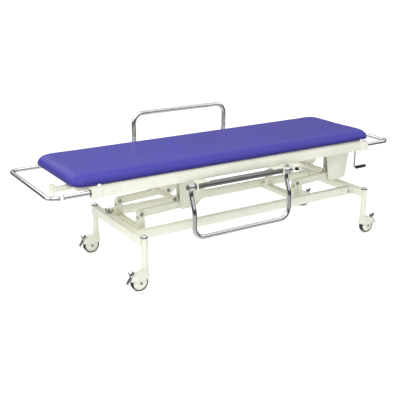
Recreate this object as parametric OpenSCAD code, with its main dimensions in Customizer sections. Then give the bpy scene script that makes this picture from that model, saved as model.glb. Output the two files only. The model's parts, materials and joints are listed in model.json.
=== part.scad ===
// Height-adjustable stretcher trolley: a wheeled base, a crank-driven parallel-arm lift,
// a flat top frame with a mattress, push handles at both ends and swing-down side guards.
// Inner working frame: x = 0 is the middle of the wheelbase, y = 0 the centre plane, z = 0 the floor.
// "head" is the -x end, "foot" the +x end with the crank, "near" the -y side, "far" the +y side.

/* [Base] */
// Distance between the head and foot leg axes
wheelbase = 1484; // [1440:4:1520]
// Distance between the near and far leg axes
track = 592; // [580:2:610]
// Outer diameter of a leg tube
leg_d = 32; // [30:1:34]
// Height of the top of the base beams above the floor
base_top = 275; // [265:1:285]
// Height of a base beam's section
beam_h = 44; // [40:1:46]
// Width of a long base beam's section
beam_w = 35; // [30:1:40]
// Distance between the centre planes of the two long base beams
beam_spacing = 392; // [380:2:400]

/* [Casters] */
// Diameter of a caster wheel over its tyre
wheel_d = 90; // [86:1:94]
// Width of a tyre
tyre_w = 27; // [24:1:27]
// Distance that a wheel trails behind its swivel axis
trail = 34; // [30:1:38]

/* [Lift] */
// Distance between the two pivots of a lift arm
arm_l = 300; // [290:2:310]
// Height of a lift arm's section
arm_h = 38; // [34:1:38]
// Width of a lift arm's section
arm_w = 25; // [22:1:25]
// Distance between the near and far arm centre planes
arm_spacing = 254; // [250:2:258]
// Angle of the arms above the horizontal at the lowest height
arm_rest = 2.5; // [2:0.5:4]
// Height of the lower pivots
low_pivot_z = 338; // [334:1:342]
// Distance of the head station's lower pivots from the middle of the wheelbase
head_station = 675; // [665:1:685]
// Distance of the foot station's lower pivots from the middle of the wheelbase
foot_station = 348; // [340:1:356]
// Height of the lift screw above the upper pivots
screw_rise = 124; // [122:1:126]
// Radius of the crank
crank_r = 116; // [100:2:120]

/* [Top frame] */
// Length of a side rail
rail_l = 1736; // [1720:2:1770]
// Width over both side rails
frame_w = 590; // [580:2:600]
// Width of a side rail's section
rail_w = 34; // [32:1:36]
// Height of a side rail's section
rail_h = 50; // [48:1:52]
// Height of the top of the side rails at the lowest position
rail_top = 572; // [570:1:576]
// Distance of the rails' middle from the middle of the wheelbase, towards the head
frame_offset = 132; // [125:1:140]
// Wall of every frame tube
wall = 2; // [1.5:0.5:2.5]

/* [Mattress] */
// Length of the mattress
mattress_l = 1892; // [1882:2:1894]
// Width of the mattress
mattress_w = 546; // [540:2:546]
// Thickness of the mattress
mattress_t = 50; // [45:1:60]
// Radius of the mattress corners in plan
mattress_r = 60; // [40:5:110]

/* [Handles and guards] */
// Outer diameter of the chromed handle tubes
handle_d = 22; // [20:1:22]
// Outer diameter of the chromed guard tubes
guard_d = 24; // [20:1:25]
// Reach of the head handle's centre line past its rail ends
head_reach = 207; // [200:1:215]
// Reach of the foot handle's centre line past its rail ends
foot_reach = 188; // [176:1:190]
// Distance between the centre lines of a guard's two legs
guard_w = 602; // [590:2:610]
// Distance from a guard's pivot axis to the centre line of its bar
guard_h = 264; // [250:2:266]
// Height of the guards' pivot axis
guard_axis_z = 500; // [498:1:502]

/* [Hidden] */
$fn = 64;
hull_fn = 32;

// Placement of the whole trolley, so that the bounding box is centred on the origin
shift = [141.5, 9, 0];

// Colours
ivory = [0.92, 0.91, 0.84];
ivory_shade = [0.84, 0.83, 0.75];
chrome = [0.80, 0.81, 0.83];
steel = [0.60, 0.61, 0.62];
black = [0.10, 0.10, 0.11];
grey = [0.30, 0.31, 0.33];
white = [0.96, 0.96, 0.95];
violet = [0.41, 0.38, 0.72];
birch = [0.80, 0.67, 0.47];

// Running clearances, radial
run_gap = 0.05;
open_gap = 0.5;

// Legs and base frame
leg_x = wheelbase / 2;
leg_y = track / 2;
leg_r = leg_d / 2;
leg_bottom = 111;
cross_w = 40;
beam_y = beam_spacing / 2;
beam_l = wheelbase - cross_w;
beam_wall = 2.5;
sill_w = 40;
sill_h = 30;
sill_l = beam_spacing - beam_w;
base_bottom = base_top - beam_h;
sill_top = base_bottom + sill_h;

// Casters
wheel_r = wheel_d / 2;
hub_r = wheel_r - 7;
hub_w = 24;
axle_r = 4;
stem_r = 8;
stem_l = 38;
hood_r = wheel_r + 8;
hood_w = 40;
hood_bottom = 60;
cheek_t = 4.5;
cheek_r = 13;
collar_r = 18;
pedal_pivot = [-trail - 43, 86];
pedal_w = 14;
lug_t = 3.5;
lug_r = 6;
pedal_pin_r = 2.5;

// Lift arms and pivots
pin_r = 7;
arm_y = arm_spacing / 2;
head_low = [-head_station, low_pivot_z];
foot_low = [foot_station, low_pivot_z];
arm_span = [arm_l * cos(arm_rest), arm_l * sin(arm_rest)];
head_up = head_low + arm_span;
foot_up = foot_low + arm_span;
post_t = 5;
post_gap = 1;
post_half = arm_w / 2 + post_gap;
post_r = 16;
post_w = 37;
torque_r = 15;
torque_at = 205;
lever_t = 5;
lever_rest = 18;
lever_end = 148;
lever_half = 17;
slot_half = 10.5;
trunnion_r = 6;
gusset_t = 6;
gusset_half = arm_w / 2 + lever_t + post_gap;

// Lift screw and crank
screw_r = 8;
journal_r = 6;
screw_z = head_up[1] + screw_rise;
nut_x = foot_up[0] + screw_rise * tan(lever_rest);
nut_l = 24;
bearing_x = 706;
bearing_t = 12;
screw_start = 540;
crank_x = 810;
rod_r = 5;
rod_bend = 12;
grip_r = 10;
grip_l = 78;

// Drive cover: ends of its top edge, centres of its two lower corners, and where its open part ends
cover_top = [547, 729];
cover_centres = [606, 672];
cover_corner = 38;
cover_low = 322;
cover_open_x = 664;

// Top frame
frame_x = -frame_offset;
rail_end = rail_l / 2;
rail_y = (frame_w - rail_w) / 2;
rail_bottom = rail_top - rail_h;
inner_w = frame_w - 2 * rail_w;
bar_w = 30;
bar_z = rail_bottom + 5;
bars_x = [frame_x - rail_end + 15, -450, -300, 130, 570, 715];
handle_z = rail_top - rail_h / 2;
handle_bend = 42;
handle_depth = 250;
sleeve_l = 55;
sleeve_t = 3;
sleeve_cap = 6;
knob_in = 38;
knob_y = frame_w / 2 - 11;
knob_r = 10;
board_t = 15;
board_x = [-1060, 735];
board_w = 506;
mattress_x = frame_x - 11;

// Pole socket at the head end
socket_x = -1150;
socket_y = -166;
socket_r = 14;
socket_h = 57;
socket_rise = 11;
socket_arm_w = 24;
socket_arm_t = 12;
pole_r = 9.5;
pole_depth = 42;

// Guards
tube_r = handle_d / 2;
tube_wall = 1.5;
guard_x = -186;
guard_y = frame_w / 2 + 27;
guard_bend = 57;
guard_out = 40;
boss_r = 17;
boss_half = 16.5;
tube_start = 10.5;
pivot_tube_r = 16;
stub_r = 8;
disc_r = 27;
disc_t = 5;
lock_r = 20;
lock_pin_r = 4;
lock_pin_l = 26;
lock_free = 3.5;
bracket_t = rail_bottom - guard_axis_z - pivot_tube_r;
bracket_in = 32;
bracket_l = 68;
weld_gap = 0.5;
clasp_t = 6;
clasp_half = 22;
clasp_drop = 20;
lug_x = guard_w / 2 + boss_half + disc_t + 4;
lug_l = 62;
lug_out = 34;
lug_drop = 14;

// ---------- shared shapes ----------

module place() {
    translate(shift) children();
}

// Rectangular tube along x, centred in x and y, standing on z = 0
module box_tube_x(length, width, height, thickness) {
    translate([-length / 2, -width / 2, 0]) difference() {
        cube([length, width, height]);
        translate([-1, thickness, thickness])
            cube([length + 2, width - 2 * thickness, height - 2 * thickness]);
    }
}

// Rectangular tube along y, centred in x and y, standing on z = 0
module box_tube_y(length, width, height, thickness) {
    rotate([0, 0, 90]) box_tube_x(length, width, height, thickness);
}

// Cylinder along y, centred on the origin
module disc_y(radius, width) {
    rotate([90, 0, 0]) cylinder(r = radius, h = width, center = true);
}

// Cylinder along x from x = 0
module rod_x(radius, length) {
    rotate([0, 90, 0]) cylinder(r = radius, h = length);
}

module ring(radius, thickness) {
    difference() {
        circle(r = radius);
        circle(r = radius - thickness);
    }
}

// Bend of a tube that leaves the origin along +z and turns towards +x
module tube_bend(radius, thickness, bend, angle) {
    translate([bend, 0, 0]) rotate([90, 0, 180])
        rotate_extrude(angle = angle) translate([bend, 0]) ring(radius, thickness);
}

// Bent tube from the origin along +z; a step is [straight length, bend angle, heading, bend radius]
module bent_tube(steps, radius, thickness, at = 0) {
    step = steps[at];
    angle = step[1];
    bend = step[3];
    linear_extrude(step[0]) ring(radius, thickness);
    if (angle > 0) translate([0, 0, step[0]]) rotate([0, 0, step[2]]) {
        tube_bend(radius, thickness, bend, angle);
        if (at + 1 < len(steps))
            translate([bend * (1 - cos(angle)), 0, bend * sin(angle)]) rotate([0, angle, 0])
                rotate([0, 0, -step[2]]) bent_tube(steps, radius, thickness, at + 1);
    }
}

// Both sides of the centre plane
module both_sides() {
    for (side = [-1, 1]) scale([1, side, 1]) children();
}

// ---------- base ----------

module base_beam(side) {
    color(ivory) translate([0, side * beam_y, base_bottom]) box_tube_x(beam_l, beam_w, beam_h, beam_wall);
}

module base_crossbeam(end) {
    color(ivory) difference() {
        translate([end * leg_x, 0, base_bottom]) box_tube_y(track, cross_w, beam_h, beam_wall);
        for (side = [-1, 1])
            translate([end * leg_x, side * leg_y, base_bottom - 1]) cylinder(r = leg_r, h = beam_h + 2);
    }
}

module lift_sills() {
    color(ivory) for (x = [head_low[0], foot_low[0]])
        translate([x, 0, base_bottom]) box_tube_y(sill_l, sill_w, sill_h, beam_wall);
}

module leg(end, side) {
    color(ivory) translate([end * leg_x, side * leg_y, 0]) difference() {
        translate([0, 0, leg_bottom]) cylinder(r = leg_r, h = base_top - leg_bottom);
        translate([0, 0, leg_bottom - 1]) cylinder(r = stem_r + run_gap, h = stem_l + 3);
        translate([0, 0, leg_bottom + 50]) cylinder(r = leg_r - 2.5, h = base_top);
    }
}

module leg_caps() {
    color(chrome) for (end = [-1, 1], side = [-1, 1]) translate([end * leg_x, side * leg_y, base_top]) {
        cylinder(r = leg_r + 1, h = 4);
        intersection() {
            translate([0, 0, -6]) sphere(r = 20);
            translate([0, 0, 4]) cylinder(r = leg_r - 0.5, h = 12);
        }
        translate([0, 0, -8]) cylinder(r = leg_r - 2.5, h = 8);
    }
}

// One post: two cheeks and a low web on a sill, drawn around its pivot
module lift_post() {
    foot_z = sill_top - low_pivot_z;
    for (side = [-1, 1]) translate([0, side * (post_half + post_t / 2), 0]) difference() {
        union() {
            disc_y(post_r, post_t);
            translate([-post_w / 2, -post_t / 2, foot_z]) cube([post_w, post_t, 50]);
            translate([-post_r, -post_t / 2, foot_z]) cube([2 * post_r, post_t, -foot_z]);
        }
        disc_y(pin_r, post_t + 2);
    }
    translate([-post_w / 2, -post_half, foot_z]) cube([post_t, 2 * post_half, 50]);
}

module lift_posts() {
    color(ivory) for (low = [head_low, foot_low], side = [-1, 1])
        translate([low[0], side * arm_y, low[1]]) lift_post();
}

// Headed pivot pin along y, centred on the origin
module pivot_pin(length) {
    disc_y(pin_r, length);
    for (side = [-1, 1]) translate([0, side * (length / 2 + 1.5), 0]) disc_y(pin_r + 3, 3);
}

module base_pivot_pins() {
    pin_l = 2 * (post_half + post_t);
    color(steel) for (low = [head_low, foot_low], side = [-1, 1])
        translate([low[0], side * arm_y, low[1]]) pivot_pin(pin_l);
}

// ---------- casters, drawn with the wheel trailing towards -x ----------

module at_caster(end, side) {
    translate([end * leg_x, side * leg_y, 0]) rotate([0, 0, end < 0 ? 0 : 180]) children();
}

module caster_fork() {
    color(ivory) {
        difference() {
            union() {
                difference() {
                    hull() {
                        translate([0, 0, leg_bottom - 14]) cylinder(r = collar_r, h = 8, $fn = hull_fn);
                        translate([-trail, 0, wheel_r]) disc_y(hood_r, hood_w - 6, $fn = hull_fn);
                        translate([-trail, 0, wheel_r]) disc_y(hood_r - 4, hood_w, $fn = hull_fn);
                    }
                    translate([-150, -50, -20]) cube([300, 100, hood_bottom + 20]);
                }
                for (side = [-1, 1]) translate([-trail, side * (hood_w - cheek_t) / 2, 0]) hull() {
                    translate([0, 0, wheel_r]) disc_y(cheek_r, cheek_t, $fn = hull_fn);
                    translate([-2 * cheek_r, -cheek_t / 2, hood_bottom]) cube([4 * cheek_r, cheek_t, 6]);
                }
            }
            translate([-trail, 0, wheel_r]) disc_y(wheel_r + 3, tyre_w + 4);
            translate([-trail, 0, wheel_r]) disc_y(axle_r, hood_w + 2);
        }
        translate([0, 0, leg_bottom - 6]) cylinder(r = collar_r - 1, h = 5.5);
        for (side = [-1, 1]) pedal_lug(side);
    }
    color(steel) {
        translate([0, 0, leg_bottom - 0.5]) cylinder(r = stem_r, h = stem_l);
        translate([-trail, 0, wheel_r]) disc_y(axle_r, hood_w);
    }
}

// Lug that carries the brake pedal's pin
module pedal_lug(side) {
    lug_y = (pedal_w + lug_t) / 2 + 0.5;
    translate([pedal_pivot[0], side * lug_y, pedal_pivot[1]]) rotate([0, 30, 0]) difference() {
        union() {
            disc_y(lug_r, lug_t);
            translate([0, -lug_t / 2, -lug_r]) cube([11, lug_t, 2 * lug_r]);
        }
        disc_y(pedal_pin_r, lug_t + 2);
    }
}

// Nearly flat wheel with a shallow ring groove in both faces
module caster_hub() {
    color(ivory) translate([-trail, 0, wheel_r]) difference() {
        union() {
            disc_y(hub_r, hub_w);
            disc_y(12, tyre_w);
        }
        disc_y(axle_r + run_gap, tyre_w + 2);
        for (side = [-1, 1]) translate([0, side * hub_w / 2, 0]) difference() {
            disc_y(hub_r - 5, 3);
            disc_y(hub_r - 9, 5);
        }
    }
}

module caster_tyre() {
    edge = 3;
    color(black) translate([-trail, 0, wheel_r]) rotate([90, 0, 0]) rotate_extrude() {
        translate([hub_r, -tyre_w / 2 + edge]) square([wheel_r - hub_r, tyre_w - 2 * edge]);
        translate([hub_r, -tyre_w / 2]) square([wheel_r - hub_r - edge, tyre_w]);
        for (side = [-1, 1]) translate([wheel_r - edge, side * (tyre_w / 2 - edge)]) circle(r = edge);
    }
}

// Pedal with a long toe lever and two short prongs, on its own pin
module brake_pedal() {
    color(grey) translate([pedal_pivot[0], 0, pedal_pivot[1]]) {
        for (tip = [[-24, -36, 3.5], [-14, 21, 2.5], [12, 20, 2.5]]) hull() {
            disc_y(4.2, pedal_w, $fn = hull_fn);
            translate([tip[0], 0, tip[1]]) disc_y(tip[2], pedal_w, $fn = hull_fn);
        }
        disc_y(pedal_pin_r - run_gap, pedal_w + 2 * lug_t + 1);
    }
}

// ---------- lift arms, drawn from the lower pivot along +x ----------

module at_arm(low, side) {
    translate([low[0], side * arm_y, low[1]]) rotate([0, -arm_rest, 0]) children();
}

module lift_arm(upper_gap) {
    difference() {
        union() {
            translate([0, -arm_w / 2, -arm_h / 2]) cube([arm_l, arm_w, arm_h]);
            disc_y(arm_h / 2, arm_w);
            translate([arm_l, 0, 0]) disc_y(arm_h / 2, arm_w);
        }
        disc_y(pin_r + run_gap, arm_w + 2);
        translate([arm_l, 0, 0]) disc_y(pin_r + upper_gap, arm_w + 2);
        translate([30, -arm_w / 2 + wall, -arm_h / 2 + wall])
            cube([arm_l - 60, arm_w - 2 * wall, arm_h - 2 * wall]);
    }
}

module lift_arm_head(side) {
    color(ivory) at_arm(head_low, side) lift_arm(run_gap);
}

module lift_arm_foot_near() {
    color(ivory) at_arm(foot_low, -1) {
        lift_arm(open_gap);
        slot_lever();
    }
}

module lift_arm_foot_far() {
    color(ivory) at_arm(foot_low, 1) lift_arm(open_gap);
}

// Pair of plates that carry the slot for the nut's trunnions
module slot_lever() {
    slot_low = screw_rise - 2;
    slot_high = lever_end;
    slot_l = slot_high - slot_low;
    lean = lever_rest + arm_rest;
    for (side = [-1, 1])
        translate([arm_l, side * (arm_w + lever_t) / 2, 0]) rotate([0, lean, 0]) difference() {
            union() {
                disc_y(arm_h / 2, lever_t);
                translate([-lever_half, -lever_t / 2, 0]) cube([2 * lever_half, lever_t, slot_high]);
                translate([0, 0, slot_high]) disc_y(lever_half, lever_t);
            }
            disc_y(pin_r + open_gap, lever_t + 2);
            for (z = [slot_low, slot_high]) translate([0, 0, z]) disc_y(slot_half, lever_t + 2);
            translate([-slot_half, -lever_t, slot_low]) cube([2 * slot_half, 2 * lever_t, slot_l]);
        }
}

module torque_tube(low) {
    color(ivory) translate([low[0], 0, low[1]]) rotate([0, -arm_rest, 0])
        translate([torque_at, 0, arm_h / 2 + torque_r]) difference() {
            disc_y(torque_r, arm_spacing + arm_w);
            disc_y(torque_r - 3, arm_spacing + arm_w + 2);
        }
}

// ---------- lift screw and crank ----------

module lift_screw() {
    thread_l = bearing_x - 4 - screw_start;
    color(steel) translate([screw_start, -arm_y, screw_z]) {
        rod_x(screw_r, thread_l);
        translate([thread_l, 0, 0]) rod_x(screw_r + 1.5, 4);
        translate([thread_l, 0, 0]) rod_x(journal_r, crank_x - 30 - screw_start - thread_l);
    }
}

module lift_nut() {
    color(steel) translate([nut_x, -arm_y, screw_z]) difference() {
        union() {
            cube([nut_l, arm_w - 2, 28], center = true);
            disc_y(trunnion_r, arm_w + 2 * lever_t);
        }
        rotate([0, 90, 0]) cylinder(r = screw_r + run_gap, h = nut_l + 2, center = true);
    }
}

module screw_bearing() {
    color(steel) difference() {
        translate([bearing_x, -arm_y - 11, screw_z - 13]) cube([bearing_t, 22, bar_z - screw_z + 13]);
        translate([bearing_x - 1, -arm_y, screw_z]) rod_x(journal_r + run_gap, bearing_t + 2);
    }
}

// Side outline of the drive cover, x to the right and z up
module cover_outline(inset) {
    top_z = rail_bottom - 2;
    low_z = cover_low + inset;
    corner = cover_corner - inset;
    head_c = [cover_centres[0], low_z + corner];
    foot_c = [cover_centres[1], low_z + corner];
    polygon([
        [cover_top[0] + inset, top_z], [head_c[0] - corner, head_c[1]],
        [foot_c[0] + corner, foot_c[1]], [cover_top[1] - inset, top_z]
    ]);
    for (c = [head_c, foot_c]) translate(c) circle(r = corner);
    translate([head_c[0], low_z]) square([foot_c[0] - head_c[0], corner + 1]);
}

module drive_cover() {
    skin = 3;
    front_y = -arm_y - 34;
    back_y = -arm_y + 29;
    depth = back_y - front_y;
    open_start = cover_top[0] - 47;
    color(ivory) difference() {
        translate([0, back_y, 0]) rotate([90, 0, 0]) linear_extrude(depth) cover_outline(0);
        translate([0, back_y + 1, 0]) rotate([90, 0, 0])
            linear_extrude(depth - skin + 1) cover_outline(skin);
        translate([open_start, front_y + skin, cover_low - 22])
            cube([cover_open_x - open_start, depth, 250]);
        translate([cover_top[1] - 29, -arm_y, screw_z]) rod_x(journal_r + 3, 60);
    }
}

// Bent crank: hub on the screw, arm hanging down, spindle for the grip
module crank_rod() {
    reach = crank_x - 45;
    color(chrome) difference() {
        translate([reach, -arm_y, screw_z]) rotate([0, 90, 0]) union() {
            linear_extrude(crank_x - reach - rod_bend) circle(r = rod_r);
            cylinder(r = 11, h = 22);
            translate([0, 0, crank_x - reach - rod_bend]) {
                tube_bend(rod_r, rod_r, rod_bend, 90);
                translate([rod_bend, 0, rod_bend]) rotate([0, 90, 0]) {
                    cylinder(r = rod_r, h = crank_r - 2 * rod_bend);
                    translate([0, 0, crank_r - 2 * rod_bend]) rotate([0, 0, 180]) {
                        tube_bend(rod_r, rod_r, rod_bend, 90);
                        translate([rod_bend, 0, rod_bend]) rotate([0, 90, 0]) {
                            cylinder(r = rod_r, h = grip_l + 8);
                            translate([0, 0, grip_l + 4.5]) cylinder(r = rod_r + 2.5, h = 4);
                        }
                    }
                }
            }
        }
        translate([reach - 1, -arm_y, screw_z]) rod_x(journal_r, 16);
    }
}

module crank_grip() {
    start = crank_x + rod_bend + 2;
    edge = 4;
    color(black) translate([start, -arm_y, screw_z - crank_r]) rotate([0, 90, 0])
        rotate_extrude() difference() {
            union() {
                translate([0, edge]) square([grip_r, grip_l - 10]);
                square([grip_r - 3, grip_l]);
                translate([grip_r - edge, edge]) circle(r = edge);
                translate([grip_r - edge, grip_l - 6]) circle(r = edge);
            }
            translate([-1, -1]) square([1 + rod_r + run_gap, grip_l + 2]);
        }
}

// ---------- top frame ----------

module side_rail(side) {
    color(ivory) difference() {
        translate([frame_x, side * rail_y, rail_bottom]) box_tube_x(rail_l, rail_w, rail_h, wall);
        for (end = [-1, 1]) translate([frame_x + end * (rail_end - knob_in), side * knob_y, rail_top - 10])
            cylinder(r = 3, h = 20);
    }
}

module frame_crossbars() {
    color(ivory_shade) for (x = bars_x) translate([x, 0, bar_z]) box_tube_y(inner_w, bar_w, bar_w, wall);
}

// Hanging plate around an upper pivot; head_side and foot_side are its reaches from the pivot
module gusset_plate(head_side, foot_side, drop, top) {
    translate([0, gusset_t / 2, 0]) rotate([90, 0, 0]) linear_extrude(gusset_t) difference() {
        polygon([
            [-head_side, top], [-head_side + 12, -drop], [foot_side * 0.3, -drop],
            [foot_side, -drop + foot_side * 0.7], [foot_side, top]
        ]);
        circle(r = pin_r);
    }
}

module lift_gussets() {
    top = bar_z - head_up[1];
    plate_y = gusset_half + gusset_t / 2;
    color(ivory) both_sides() {
        translate([head_up[0], arm_y + plate_y, head_up[1]]) gusset_plate(82, 75, 26, top);
        translate([head_up[0], arm_y - plate_y, head_up[1]]) gusset_plate(77, 75, 20, top);
        translate([foot_up[0], arm_y + plate_y, foot_up[1]]) gusset_plate(77, 55, 18, top);
        translate([foot_up[0], arm_y - plate_y, foot_up[1]]) gusset_plate(77, 55, 18, top);
    }
}

module top_pivot_pins() {
    color(steel) for (up = [head_up, foot_up], side = [-1, 1])
        translate([up[0], side * arm_y, up[1]]) pivot_pin(2 * (gusset_half + gusset_t));
}

// Shoe round the outer side and the bottom of a rail's end, with a cap whose bore guides the handle
module rail_end_sleeves() {
    inner = rail_w / 2;
    color(ivory) for (end = [-1, 1], side = [-1, 1])
        translate([frame_x + end * rail_end, side * rail_y, handle_z]) scale([end, side, 1]) difference() {
            translate([-sleeve_l + sleeve_cap, -inner, -rail_h / 2 - sleeve_t])
                cube([sleeve_l, rail_w + sleeve_t, rail_h + sleeve_t]);
            translate([-sleeve_l, -inner - 1, -rail_h / 2]) cube([sleeve_l, rail_w + 1, rail_h + 1]);
            translate([-1, 0, 0]) rod_x(tube_r + run_gap, sleeve_cap + 2);
        }
}

module handle_knobs() {
    color(white) for (end = [-1, 1], side = [-1, 1])
        translate([frame_x + end * (rail_end - knob_in), side * knob_y, rail_top]) {
            cylinder(r = knob_r, h = 6);
            intersection() {
                translate([0, 0, 4]) sphere(r = knob_r);
                translate([0, 0, 6]) cylinder(r = knob_r, h = 12);
            }
            translate([0, 0, -12]) cylinder(r = 3, h = 12);
        }
}

// U-shaped handle, drawn from its leg ends along +z with the bar towards +x
module handle_tube(reach) {
    leg = handle_depth + reach - handle_bend;
    bent_tube([
        [leg, 90, 0, handle_bend],
        [2 * rail_y - 2 * handle_bend, 90, 0, handle_bend],
        [leg, 0, 0, 0]
    ], tube_r, tube_wall);
}

module push_handle_head() {
    color(chrome) translate([frame_x - rail_end + handle_depth, -rail_y, handle_z])
        rotate([0, 0, 90]) rotate([-90, 0, 0]) handle_tube(head_reach);
}

module push_handle_foot() {
    color(chrome) translate([frame_x + rail_end - handle_depth, rail_y, handle_z])
        rotate([0, 0, -90]) rotate([-90, 0, 0]) handle_tube(foot_reach);
}

module mattress() {
    round_x = mattress_l / 2 - mattress_r;
    round_y = mattress_w / 2 - mattress_r;
    color(violet) translate([mattress_x, 0, rail_top + 0.5]) linear_extrude(mattress_t) {
        square([mattress_l, 2 * round_y], center = true);
        square([2 * round_x, mattress_w], center = true);
        for (x = [-round_x, round_x], y = [-round_y, round_y]) translate([x, y]) circle(r = mattress_r);
    }
}

module deck_board() {
    color(birch) translate([board_x[0], -board_w / 2, rail_top - board_t])
        cube([board_x[1] - board_x[0], board_w, board_t]);
}

// Upright tube at the head end that takes the foot of a pole, on a flat arm under the deck board
module pole_socket() {
    top = rail_top + socket_rise;
    arm_z = bar_z + bar_w - socket_arm_t;
    arm_end = bars_x[0] - bar_w / 2;
    rib_end = board_x[0] - 4;
    color(ivory) translate([socket_x, socket_y, 0]) difference() {
        union() {
            translate([0, 0, top - socket_h]) cylinder(r = socket_r, h = socket_h);
            translate([0, -socket_arm_w / 2, arm_z])
                cube([arm_end - socket_x, socket_arm_w, socket_arm_t]);
            translate([0, -socket_arm_w / 2, arm_z])
                cube([rib_end - socket_x, socket_arm_w, 2 * socket_arm_t]);
        }
        translate([0, 0, top - pole_depth]) cylinder(r = pole_r, h = pole_depth + 1);
    }
}

// ---------- guards, drawn around the pivot axis along x, hanging down, with -y outwards ----------

module at_guard(side) {
    translate([guard_x, side * guard_y, guard_axis_z]) scale([1, -side, 1]) children();
}

// Boss that turns on the pivot tube's stub
module guard_boss() {
    difference() {
        translate([-boss_half, 0, 0]) rod_x(boss_r, 2 * boss_half);
        translate([-boss_half - 1, 0, 0]) rod_x(stub_r + run_gap, 2 * boss_half + 2);
    }
}

// Disc with the two holes that the lock drops into, guard down and guard up
module lock_disc() {
    difference() {
        rod_x(disc_r, disc_t);
        translate([-1, 0, 0]) rod_x(stub_r + run_gap, disc_t + 2);
        for (turn = [90, 270])
            rotate([turn, 0, 0]) translate([-1, 0, lock_r]) rod_x(lock_pin_r + 0.3, disc_t + 2);
    }
}

// Flat U of tube that leans outwards from its two bosses
module guard_loop() {
    tilt = atan(guard_out / guard_h);
    leg = guard_h / cos(tilt) - tube_start - guard_bend;
    color(chrome) {
        rotate([-tilt, 0, 0]) translate([-guard_w / 2, 0, -tube_start]) rotate([0, 180, 0])
            bent_tube([
                [leg, 90, 180, guard_bend],
                [guard_w - 2 * guard_bend, 90, 180, guard_bend],
                [leg, 0, 0, 0]
            ], guard_d / 2, tube_wall);
        for (end = [-1, 1]) translate([end * guard_w / 2, 0, 0]) guard_boss();
        translate([guard_w / 2 + boss_half, 0, 0]) lock_disc();
    }
}

// The far guard stands up, so it is turned half a turn about its pivot
module guard_loop_placed(side, turn) {
    at_guard(side) rotate([turn, 0, 0]) guard_loop();
}

module guard_pivot_tube(side) {
    body_l = guard_w - 2 * boss_half - 6;
    color(steel) at_guard(side) {
        translate([-body_l / 2, 0, 0]) rod_x(pivot_tube_r, body_l);
        translate([-guard_w / 2 - boss_half - 3, 0, 0]) rod_x(stub_r, guard_w + 2 * boss_half + 24);
        translate([-guard_w / 2 - boss_half - 6, 0, 0]) rod_x(stub_r + 4, 4);
    }
}

// Plates under the rail with clasps round the pivot tube, and the lug that guides the lock
module guard_brackets() {
    inner_y = guard_y - (frame_w / 2 - rail_w);
    plate_z = pivot_tube_r + weld_gap;
    plate_t = bracket_t - weld_gap;
    color(ivory) for (side = [-1, 1]) at_guard(side) {
        for (x = [-guard_w / 2 + bracket_in, guard_w / 2 - bracket_in - bracket_l])
            translate([x, -pivot_tube_r, plate_z]) cube([bracket_l, pivot_tube_r + inner_y, plate_t]);
        for (x = [-guard_w / 2 + bracket_in - clasp_t, guard_w / 2 - bracket_in]) difference() {
            translate([x, -clasp_half, -clasp_drop])
                cube([clasp_t, 2 * clasp_half, clasp_drop + plate_z + plate_t]);
            translate([x - 1, 0, 0]) rod_x(pivot_tube_r, clasp_t + 2);
        }
        difference() {
            union() {
                translate([lug_x, -lug_out, pivot_tube_r]) cube([lug_l, lug_out + inner_y, bracket_t]);
                translate([lug_x, -lug_out, -lug_drop])
                    cube([clasp_t, lug_out + pivot_tube_r, lug_drop + pivot_tube_r]);
            }
            translate([lug_x - 1, 0, 0]) rod_x(stub_r, clasp_t + 2);
            translate([lug_x - 1, -lock_r, 0]) rod_x(lock_pin_r + run_gap, clasp_t + 2);
        }
    }
}

// Plunger drawn back clear of the disc; pushed in, its pin enters one of the disc's holes
module guard_lock(side) {
    at_guard(side) translate([lug_x - lock_free, -lock_r, 0]) {
        color(steel) rod_x(lock_pin_r, lock_pin_l);
        color(black) translate([lock_pin_l, 0, 0]) rotate([0, 90, 0]) {
            cylinder(r = 6, h = 4);
            translate([0, 0, 4]) cylinder(r = 9, h = 12);
        }
    }
}

// ---------- nodes ----------

place() base_beam(-1);  // base_beam_near
place() base_beam(1);  // base_beam_far
place() base_crossbeam(-1);  // base_crossbeam_head
place() base_crossbeam(1);  // base_crossbeam_foot
place() lift_sills();
place() leg(-1, -1);  // leg_head_near
place() leg(-1, 1);  // leg_head_far
place() leg(1, -1);  // leg_foot_near
place() leg(1, 1);  // leg_foot_far
place() leg_caps();
place() lift_posts();
place() base_pivot_pins();
place() at_caster(-1, -1) caster_fork();  // caster_fork_head_near
place() at_caster(-1, 1) caster_fork();  // caster_fork_head_far
place() at_caster(1, -1) caster_fork();  // caster_fork_foot_near
place() at_caster(1, 1) caster_fork();  // caster_fork_foot_far
place() at_caster(-1, -1) caster_hub();  // caster_hub_head_near
place() at_caster(-1, 1) caster_hub();  // caster_hub_head_far
place() at_caster(1, -1) caster_hub();  // caster_hub_foot_near
place() at_caster(1, 1) caster_hub();  // caster_hub_foot_far
place() at_caster(-1, -1) caster_tyre();  // caster_tyre_head_near
place() at_caster(-1, 1) caster_tyre();  // caster_tyre_head_far
place() at_caster(1, -1) caster_tyre();  // caster_tyre_foot_near
place() at_caster(1, 1) caster_tyre();  // caster_tyre_foot_far
place() at_caster(-1, -1) brake_pedal();  // brake_pedal_head_near
place() at_caster(-1, 1) brake_pedal();  // brake_pedal_head_far
place() at_caster(1, -1) brake_pedal();  // brake_pedal_foot_near
place() at_caster(1, 1) brake_pedal();  // brake_pedal_foot_far
place() lift_arm_head(-1);  // lift_arm_head_near
place() lift_arm_head(1);  // lift_arm_head_far
place() torque_tube(head_low);  // torque_tube_head
place() lift_arm_foot_near();
place() lift_arm_foot_far();
place() torque_tube(foot_low);  // torque_tube_foot
place() lift_screw();
place() lift_nut();
place() screw_bearing();
place() drive_cover();
place() crank_rod();
place() crank_grip();
place() side_rail(-1);  // side_rail_near
place() side_rail(1);  // side_rail_far
place() frame_crossbars();
place() lift_gussets();
place() top_pivot_pins();
place() rail_end_sleeves();
place() handle_knobs();
place() push_handle_head();
place() push_handle_foot();
place() mattress();
place() deck_board();
place() pole_socket();
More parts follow.
